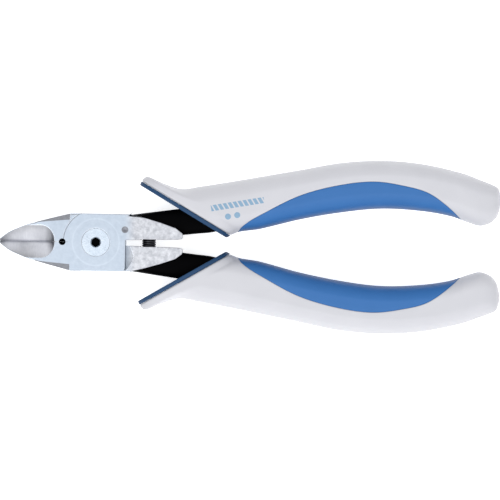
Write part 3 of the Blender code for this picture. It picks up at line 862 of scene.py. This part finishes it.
def half(name):
    """One forging: jaw, lap plate, root and tang in one piece."""
    spring_x = (SPRING_LOW.x + SPRING_HIGH.x) / 2 - PIVOT.x
    spring_room = (SPRING_HIGH.z - SPRING_LOW.z) / 2 + CLEARANCE
    body = prism(name, plate_outline(), LAP, FACE, rounded=(FACE,))
    root = prism("root", root_outline(), -FACE, FACE, rounded=(-FACE, FACE), rounding=ROOT_ROUNDING)
    tang = tang_loft("tang", PLATE_REACH * 0.9, TANG_END)
    join(body, jaw("jaw"), root, tang)
    # The spring's pocket and notch are lined with the near-black, as painted shade round the spring.
    pocket = disc("pocket", spring_room, -HANDLE_GAP, SPRING_HIGH.y - HANDLE_GAP / 2, finish=BLACK_AND_HOLE_SHADE)
    left, right = spring_x - spring_room, spring_x + spring_room
    notch = prism("notch", [(left, 0), (right, 0), (right, SPRING_SEAT), (left, SPRING_SEAT)],
                  -BEYOND, BEYOND, finish=BLACK_AND_HOLE_SHADE)
    cut(body, *turning_room(), notch, across_y(pocket, spring_x, HANDLE_GAP / 2))
    # The relief pockets are lined with the near-black, as painted shade inside them.
    for low, high in ((RELIEF_WEB, BEYOND), (-BEYOND, -RELIEF_WEB)):
        cut(body, disc("relief", RELIEF_RADIUS, low, high, x=-JAW_SEAT, sides=48, finish=BLACK_AND_HOLE_SHADE))
    cut(body, disc("bore", SHANK_RADIUS + TURNING_CLEARANCE, -BEYOND, BEYOND))
    floor_height = FACE - HEAD_RECESS - SCREW_HEAD_HEIGHT - CLEARANCE
    cut(body, disc("counterbore", SCREW_HEAD_RADIUS + SCREW_GAP, floor_height, BEYOND))
    cone = [(TEST_MARK_RADIUS * 0.1, FACE - TEST_MARK_DEPTH),
            (TEST_MARK_RADIUS * 1.2, FACE + TEST_MARK_DEPTH * 0.2)]
    # The dimple's steel is painted darker, as shade in its hollow.
    mark = turned("test_mark", cone, 32, SHADE_PAINTED)
    mark.data.transform(Matrix.Translation((*TEST_MARK, 0)))
    return cut(body, mark)


# ---- pivot ----

def pivot_screw(name):
    top = FACE - HEAD_RECESS
    under = top - SCREW_HEAD_HEIGHT
    edge = SCREW_HEAD_RADIUS * SCREW_EDGE
    corner = edge * 0.3
    profile = [(SHANK_RADIUS - edge, -top), (SHANK_RADIUS, edge - top), (SHANK_RADIUS, under),
               (SCREW_HEAD_RADIUS, under), (SCREW_HEAD_RADIUS, top - edge),
               (SCREW_HEAD_RADIUS - corner, top - corner), (SCREW_HEAD_RADIUS - edge, top)]
    screw = turned(name, profile)
    hexagon = arc(0, 0, HEX_RADIUS, 30, 330, 5)
    # The socket is lined with the near-black, as painted shade inside it.
    cut(screw, prism("hex_socket", hexagon, top - HEX_DEPTH, BEYOND, finish=BLACK_AND_HOLE_SHADE))
    lead_in = [(HEX_RADIUS * radius, top + HEX_RADIUS * height) for radius, height in HEX_LEAD_IN]
    return cut(screw, turned("lead_in", lead_in))


def pivot_nut(name):
    """A round nut, flush in the rear half, turned with a two-pin spanner."""
    low = HEAD_RECESS - FACE
    high = low + SCREW_HEAD_HEIGHT
    edge = SCREW_HEAD_RADIUS * NUT_EDGE
    profile = [(SCREW_HEAD_RADIUS - edge, low), (SCREW_HEAD_RADIUS, low + edge), (SCREW_HEAD_RADIUS, high)]
    nut = turned(name, profile)
    cut(nut, disc("thread", SHANK_RADIUS + TURNING_CLEARANCE, -BEYOND, BEYOND))
    middle = (SHANK_RADIUS + SCREW_HEAD_RADIUS) / 2
    # The spanner holes are lined with the near-black, as painted shade inside them.
    for x in (-middle, middle):
        cut(nut, disc("hole", SPANNER_HOLE_RADIUS, -BEYOND, low + SPANNER_HOLE_DEPTH, x=x, sides=24,
                      finish=BLACK_AND_HOLE_SHADE))
    return nut


# ---- grips ----
# A grip is a stack of sections on upright planes. A plane is a point and the
# direction it faces, both in X and Y. The first planes are parallel to the
# sloping front face, and the next ones turn until they stand square to X.

def front_plane(depth):
    """The plane at a depth behind the grip's sloping front face."""
    length = math.hypot(TOE[0] - HORN[0], TOE[1] - HORN[1])
    inward = ((HORN[1] - TOE[1]) / length, (TOE[0] - HORN[0]) / length)
    return (HORN[0] + inward[0] * depth, HORN[1] + inward[1] * depth), inward


def halved(low, high, past, steps):
    """Closes in on where past(place) turns true, from low to high, and gives the last place before it."""
    for _ in range(steps):
        middle = (low + high) / 2
        if past(middle):
            high = middle
        else:
            low = middle
    return low


def crossing(outline, plane):
    """The point where a grip outline passes through a plane."""
    (x, y), (nx, ny) = plane

    def behind(at):
        return (at - x) * nx + (curve_at(outline, at) - y) * ny > 0

    found = halved(outline[0][0], outline[-1][0], behind, 44)
    return Vector((found, curve_at(outline, found)))


def middle_outline():
    """The grip's middle line as an outline's points."""
    steps = 40
    stations = [HORN[0] + (HANDLE_REACH - HORN[0]) * k / steps for k in range(steps + 1)]
    return [(x, grip_middle(x)) for x in stations]


FAN_START = crossing(middle_outline(), front_plane(FAN_DEPTH)).x
FRONT_ANGLE = math.atan2(front_plane(0)[1][1], front_plane(0)[1][0])


def handle_plane(x):
    """The plane that meets the grip's middle line at x, anywhere behind the fan's start."""
    angle = FRONT_ANGLE * (1 - smooth((x - FAN_START) / (FAN_END - FAN_START)))
    return (x, grip_middle(x)), (math.cos(angle), math.sin(angle))


def pad_share(plane):
    """How far along the section, from belly to back, the pad's edge lies. 0 where there is no pad."""
    belly = crossing(BELLY, plane)
    back = crossing(BACK, plane)

    def over_pad(share):
        point = belly.lerp(back, share)
        return point.y - curve_at(PAD, point.x)

    if over_pad(0.0) >= 0:
        return 0.0
    return halved(0.0, 1.0, lambda share: over_pad(share) > 0, 30)


def pad_end(inside, outside):
    """Where the pad runs out, between a plane that crosses it and one that doesn't."""
    return halved(inside, outside, lambda x: pad_share(handle_plane(x)) <= 0, 30)


def rounded_over(distance, radius):
    """How far a surface drops at a distance from an edge that is rounded over."""
    if distance >= radius or radius <= 0:
        return 0.0
    return radius - math.sqrt(max(radius ** 2 - (radius - distance) ** 2, 0.0))


def grip_section(plane, part="whole", inset=0.0):
    """One loop of the grip, the shell or the pad, on a plane, drawn in by inset."""
    back = crossing(BACK, plane)
    belly = crossing(BELLY, plane)
    along = (back - belly).normalized()
    back -= along * inset
    belly += along * inset
    width = (back - belly).length
    gap = SKIN_GAP / 2 / width
    edge = pad_share(plane) if part != "whole" else 0.0
    side = -1 if part == "pad" else 1
    if edge > 0:
        edge = max(edge + side * gap, 1e-4)

    def height_at(share):
        x = belly.lerp(back, share).x
        tall = GRIP_HALF_HEIGHT * min(1.0, curve_at(GRIP_HEIGHT, x / HANDLE_REACH)) - inset
        crown = max(1 - abs(2 * share - 1) ** GRIP_SQUARENESS, 0.0) ** (1 / GRIP_SQUARENESS)
        return tall * min(1.0, crown * GRIP_CROWN)

    room = edge if part == "pad" else 1 - edge
    radius = min(PAD_ROUNDING, room * width * 0.4, height_at(edge) * 0.4) if edge > 0 else 0.0
    shares = [edge + side * radius * (1 - math.cos(math.pi / 2 * k / 4)) / width for k in range(4)]
    start = edge + side * radius / width
    start_angle = math.acos(math.copysign(abs(2 * start - 1) ** (GRIP_SQUARENESS / 2), 2 * start - 1))
    end_angle = math.pi if part == "pad" else 0.0
    steps = 30
    angles = [start_angle + (end_angle - start_angle) * k / steps for k in range(steps + 1)]
    shares += [(1 + squared(angle, GRIP_SQUARENESS)[0]) / 2 for angle in angles]
    top = []
    for share in shares:
        x, y = belly.lerp(back, share)
        z = height_at(share) - rounded_over(abs(share - edge) * width, radius)
        top.append((x, y, z))
    return top + [(x, y, -z) for x, y, z in reversed(top[:-1])]


def rounded_end(radius, steps=6):
    """(distance from the end, inset) pairs that round an end over."""
    angles = [math.pi / 2 * (1 - k / steps) for k in range(steps + 1)]
    return [(radius * (1 - math.sin(a)), radius * (1 - math.cos(a))) for a in angles]


def pad_stations():
    """Planes across the pad, closer together at its two points."""
    middle = (PAD[0][0] + PAD[-1][0]) / 2
    first = pad_end(middle, FAN_START)
    last = pad_end(middle, PAD[-1][0] * 1.02)
    steps = 90
    return [first + (last - first) * (1 - math.cos(math.pi * k / steps)) / 2 for k in range(steps + 1)]


def grip_shell(name):
    """The shell's loops: rounded behind the flange, along the pad, and rounded at the butt."""
    start = FLANGE_THICKNESS + SKIN_GAP
    loops = [grip_section(front_plane(start + depth), "shell", inset)
             for depth, inset in rounded_end(SHELL_ROUNDING)]
    pad = pad_stations()
    before = 14
    loops += [grip_section(handle_plane(FAN_START + (pad[0] - FAN_START) * k / before), "shell")
              for k in range(before)]
    loops += [grip_section(handle_plane(x), "shell") for x in pad]
    behind = 16
    last = HANDLE_REACH - BUTT_ROUNDING
    loops += [grip_section(handle_plane(pad[-1] + (last - pad[-1]) * k / behind), "shell")
              for k in range(1, behind)]
    loops += [grip_section(handle_plane(HANDLE_REACH - depth), "shell", inset)
              for depth, inset in reversed(rounded_end(BUTT_ROUNDING, 10))]
    shell = loft(name, loops)
    return cut(shell, sleeve_tube("room", SKIN_GAP))


def grip_pad(name):
    pad = loft(name, [grip_section(handle_plane(x), "pad") for x in pad_stations()])
    return cut(pad, sleeve_tube("room", SKIN_GAP))


def sleeve_tube(name, extra=0.0):
    """The sleeve's outside over the tang, closed beyond the tang's end."""
    grow = SLEEVE_GROW + extra
    return tang_loft(name, HORN[0], TANG_END + grow, grow, finish=GROUND)


def in_front_of_grip(depth):
    """A block that fills everything in front of the plane at a depth."""
    (x, y), (nx, ny) = front_plane(depth)
    far = HANDLE_REACH
    corners = [(x - ny * s - nx * d, y + nx * s - ny * d)
               for s, d in ((-far, 0), (far, 0), (far, far), (-far, far))]
    return prism("in_front", corners, -far, far)


def grip_sleeve(name):
    """A tube over the tang, with a flange that shows at the grip's front."""
    face = rounded_end(FLANGE_ROUNDING, 4)
    behind = [(FLANGE_THICKNESS - depth, inset) for depth, inset in reversed(face)]
    flange = loft(name, [grip_section(front_plane(depth), inset=inset) for depth, inset in face + behind])
    join(flange, cut(sleeve_tube("tube"), in_front_of_grip(FLANGE_THICKNESS / 2)))
    return cut(flange, tang_loft("tang_room", PLATE_REACH, TANG_END + SKIN_GAP, SKIN_GAP))


# ---- spring ----

def socket_id(tree, name):
    return next(item.identifier for item in tree.interface.items_tree if item.name == name)


def spring_tree(finish):
    """A coil along Y: closed up at its ends, opening out in the middle."""
    tree = bpy.data.node_groups.new("return_spring_coil", "GeometryNodeTree")
    tree.interface.new_socket("Geometry", in_out="INPUT", socket_type="NodeSocketGeometry")
    for label in ("Turns", "Coil Radius", "Length", "Wire Radius", "End Closing"):
        tree.interface.new_socket(label, in_out="INPUT", socket_type="NodeSocketFloat")
    tree.interface.new_socket("Geometry", in_out="OUTPUT", socket_type="NodeSocketGeometry")
    start = tree.nodes.new("NodeGroupInput").outputs
    coil = fed(tree, "GeometryNodeCurveSpiral", Resolution=48, Rotations=start["Turns"],
               Start_Radius=start["Coil Radius"], End_Radius=start["Coil Radius"], Height=0.0)
    share = node(tree, "GeometryNodeSplineParameter").outputs["Factor"]
    wave = calc(tree, "SINE", times(tree, share, math.tau))
    closing = times(tree, wave, calc(tree, "DIVIDE", start["End Closing"], math.tau))
    even = calc(tree, "SUBTRACT", share, 0.5)
    height = times(tree, calc(tree, "SUBTRACT", even, closing), start["Length"])
    lift = fed(tree, "ShaderNodeCombineXYZ", Z=height)
    raised = fed(tree, "GeometryNodeSetPosition", Geometry=coil.outputs[0], Offset=lift.outputs[0])
    wire = fed(tree, "GeometryNodeCurvePrimitiveCircle", Resolution=12, Radius=start["Wire Radius"])
    swept = fed(tree, "GeometryNodeCurveToMesh", Curve=raised.outputs[0],
                Profile_Curve=wire.outputs["Curve"], Fill_Caps=True)
    laid = fed(tree, "GeometryNodeTransform", Geometry=swept.outputs[0], Rotation=(math.pi / 2, 0.0, 0.0))
    real = fed(tree, "GeometryNodeRealizeInstances", Geometry=laid.outputs[0])
    dressed = fed(tree, "GeometryNodeSetMaterial", Geometry=real.outputs[0], Material=finish)
    fed(tree, "NodeGroupOutput", Geometry=dressed.outputs[0])
    return tree


def return_spring(name, finish):
    made = add_object(name, bmesh.new())
    modifier = made.modifiers.new("coil", "NODES")
    modifier.node_group = spring_tree(finish)
    sizes = {"Turns": SPRING_TURNS, "Coil Radius": (SPRING_HIGH.z - SPRING_LOW.z) / 2 - WIRE_RADIUS,
             "Length": SPRING_HIGH.y - SPRING_LOW.y - 2 * WIRE_RADIUS, "Wire Radius": WIRE_RADIUS,
             "End Closing": SPRING_CLOSING}
    for label, value in sizes.items():
        modifier[socket_id(modifier.node_group, label)] = value
    settle(made)
    made.data.transform(Matrix.Translation((SPRING_LOW + SPRING_HIGH) / 2))
    made.data.shade_smooth()
    return made


# ---- pieces and their bodies ----

def moulding(made, finish):
    """A moulded piece has one finish all over."""
    made.data.materials.clear()
    made.data.materials.append(finish)
    return shade(made)


def seat(made, node_name, body, slot, turned_over=False):
    """The piece goes from the drawing to its place on its body, and its CAD node is hidden."""
    if turned_over:
        made.data.transform(Matrix.Rotation(math.pi, 4, "X"))
    made.data.transform(Matrix.Translation(PIVOT))
    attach(made, body)
    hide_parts(node_name)


def copy_of(made, name):
    return put_in_scene(name, made.data.copy())


screw_finish = turned_steel()
white_skin = ((0.63, 0.63, 0.665), (0.72, 0.72, 0.755), 0.42, 0.25, 0.25)
white = moulded("white_shell", *white_skin)
white_printed = moulded("white_shell_printed", *white_skin, printed=True)
blue = moulded("blue_pad", (0.028, 0.150, 0.42), (0.040, 0.185, 0.50), 0.5, 0.35, 0.5, 0.45)
dark_blue = moulded("dark_blue_sleeve", (0.006, 0.045, 0.120), (0.010, 0.065, 0.170), 0.55, 0.3, 0.3)

front_half = flatten_shading(break_edges(half("front_half_steel"), EDGE_BREAK, POLISH_AND_HIGHLIGHT))
rear_half = copy_of(front_half, "rear_half_steel")
seat(front_half, "front_half", "front", "ground_steel")
seat(rear_half, "rear_half", "rear", "ground_steel", turned_over=True)

for makes, part, slot, front_finish, rear_finish in (
        (grip_sleeve, "sleeve", "blue_sleeve", dark_blue, dark_blue),
        (grip_shell, "shell", "white_shell", white_printed, white),
        (grip_pad, "pad", "blue_pad", blue, blue)):
    front = moulding(makes("front_grip_" + part + "_skin"), front_finish)
    rear = moulding(copy_of(front, "rear_grip_" + part + "_skin"), rear_finish)
    seat(front, "front_grip_" + part, "front", slot)
    seat(rear, "rear_grip_" + part, "rear", slot, turned_over=True)

for makes, part in ((pivot_screw, "pivot_screw"), (pivot_nut, "pivot_nut")):
    piece = makes(part + "_steel")
    piece.data.materials[GROUND] = screw_finish
    seat(flatten_shading(break_edges(piece, EDGE_BREAK / 2, POLISH_AND_HIGHLIGHT, 50)), part, "front", "screw_steel")

spring = return_spring("return_spring_coil", spring_wire())
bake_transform(spring)
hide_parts("return_spring")


# ---- floor, light and camera ----

def floor():
    """A wide pale floor, just under the tool."""
    size = 3.0
    top = -0.0001
    thickness = 0.002
    corners = [(-size, -size), (size, -size), (size, size), (-size, size)]
    made = prism("floor", corners, top - thickness, top)
    finish = bpy.data.materials.new("pale_floor")
    finish.use_nodes = True
    shader = finish.node_tree.nodes["Principled BSDF"]
    feed_all(finish.node_tree, shader, Base_Color=(0.93, 0.93, 0.93, 1.0), Roughness=0.9,
             Specular_IOR_Level=0.0, Emission_Color=(1.0, 1.0, 1.0, 1.0), Emission_Strength=0.7)
    moulding(made, finish)


def sky():
    """An even studio surround, brighter overhead and towards the -Y side."""
    world = bpy.data.worlds.new("studio")
    bpy.context.scene.world = world
    world.use_nodes = True
    tree = world.node_tree
    background = tree.nodes["Background"]
    direction = axes(tree, node(tree, "ShaderNodeTexCoord").outputs["Generated"])
    level = calc(tree, "MULTIPLY_ADD", direction["Y"], -0.4, direction["Z"])
    strength = map_range(tree, level, From_Min=0.0, From_Max=0.9, To_Min=0.40, To_Max=1.0)
    feed_all(tree, background, Strength=strength, Color=(0.97, 0.98, 1.0, 1.0))


def softbox(name, position, size, power):
    light = bpy.data.lights.new(name, "AREA")
    light.shape = "SQUARE"
    light.size = size
    light.energy = power
    made = put_in_scene(name, light)
    made.location = position
    made.rotation_euler = (-Vector(position)).to_track_quat("-Z", "Y").to_euler()


def camera():
    """Straight above the tool, a little turned, with a long lens so that the sides don't show."""
    distance = 1.2
    view_width = 0.150
    aside = (0.0001, -0.0015)
    data = bpy.data.cameras.new("camera")
    made = put_in_scene("camera", data)
    data.lens = data.sensor_width * distance / view_width
    centre = (LOW + HIGH) / 2
    made.location = (centre.x + aside[0], centre.y + aside[1], PIVOT.z + distance)
    made.rotation_euler = (0.0, 0.0, math.radians(1.0))
    bpy.context.scene.camera = made


floor()
sky()
softbox("overhead_softbox", (-0.25, -0.55, 1.5), 1.2, 6.5)
camera()
bpy.context.scene.view_settings.view_transform = "Standard"
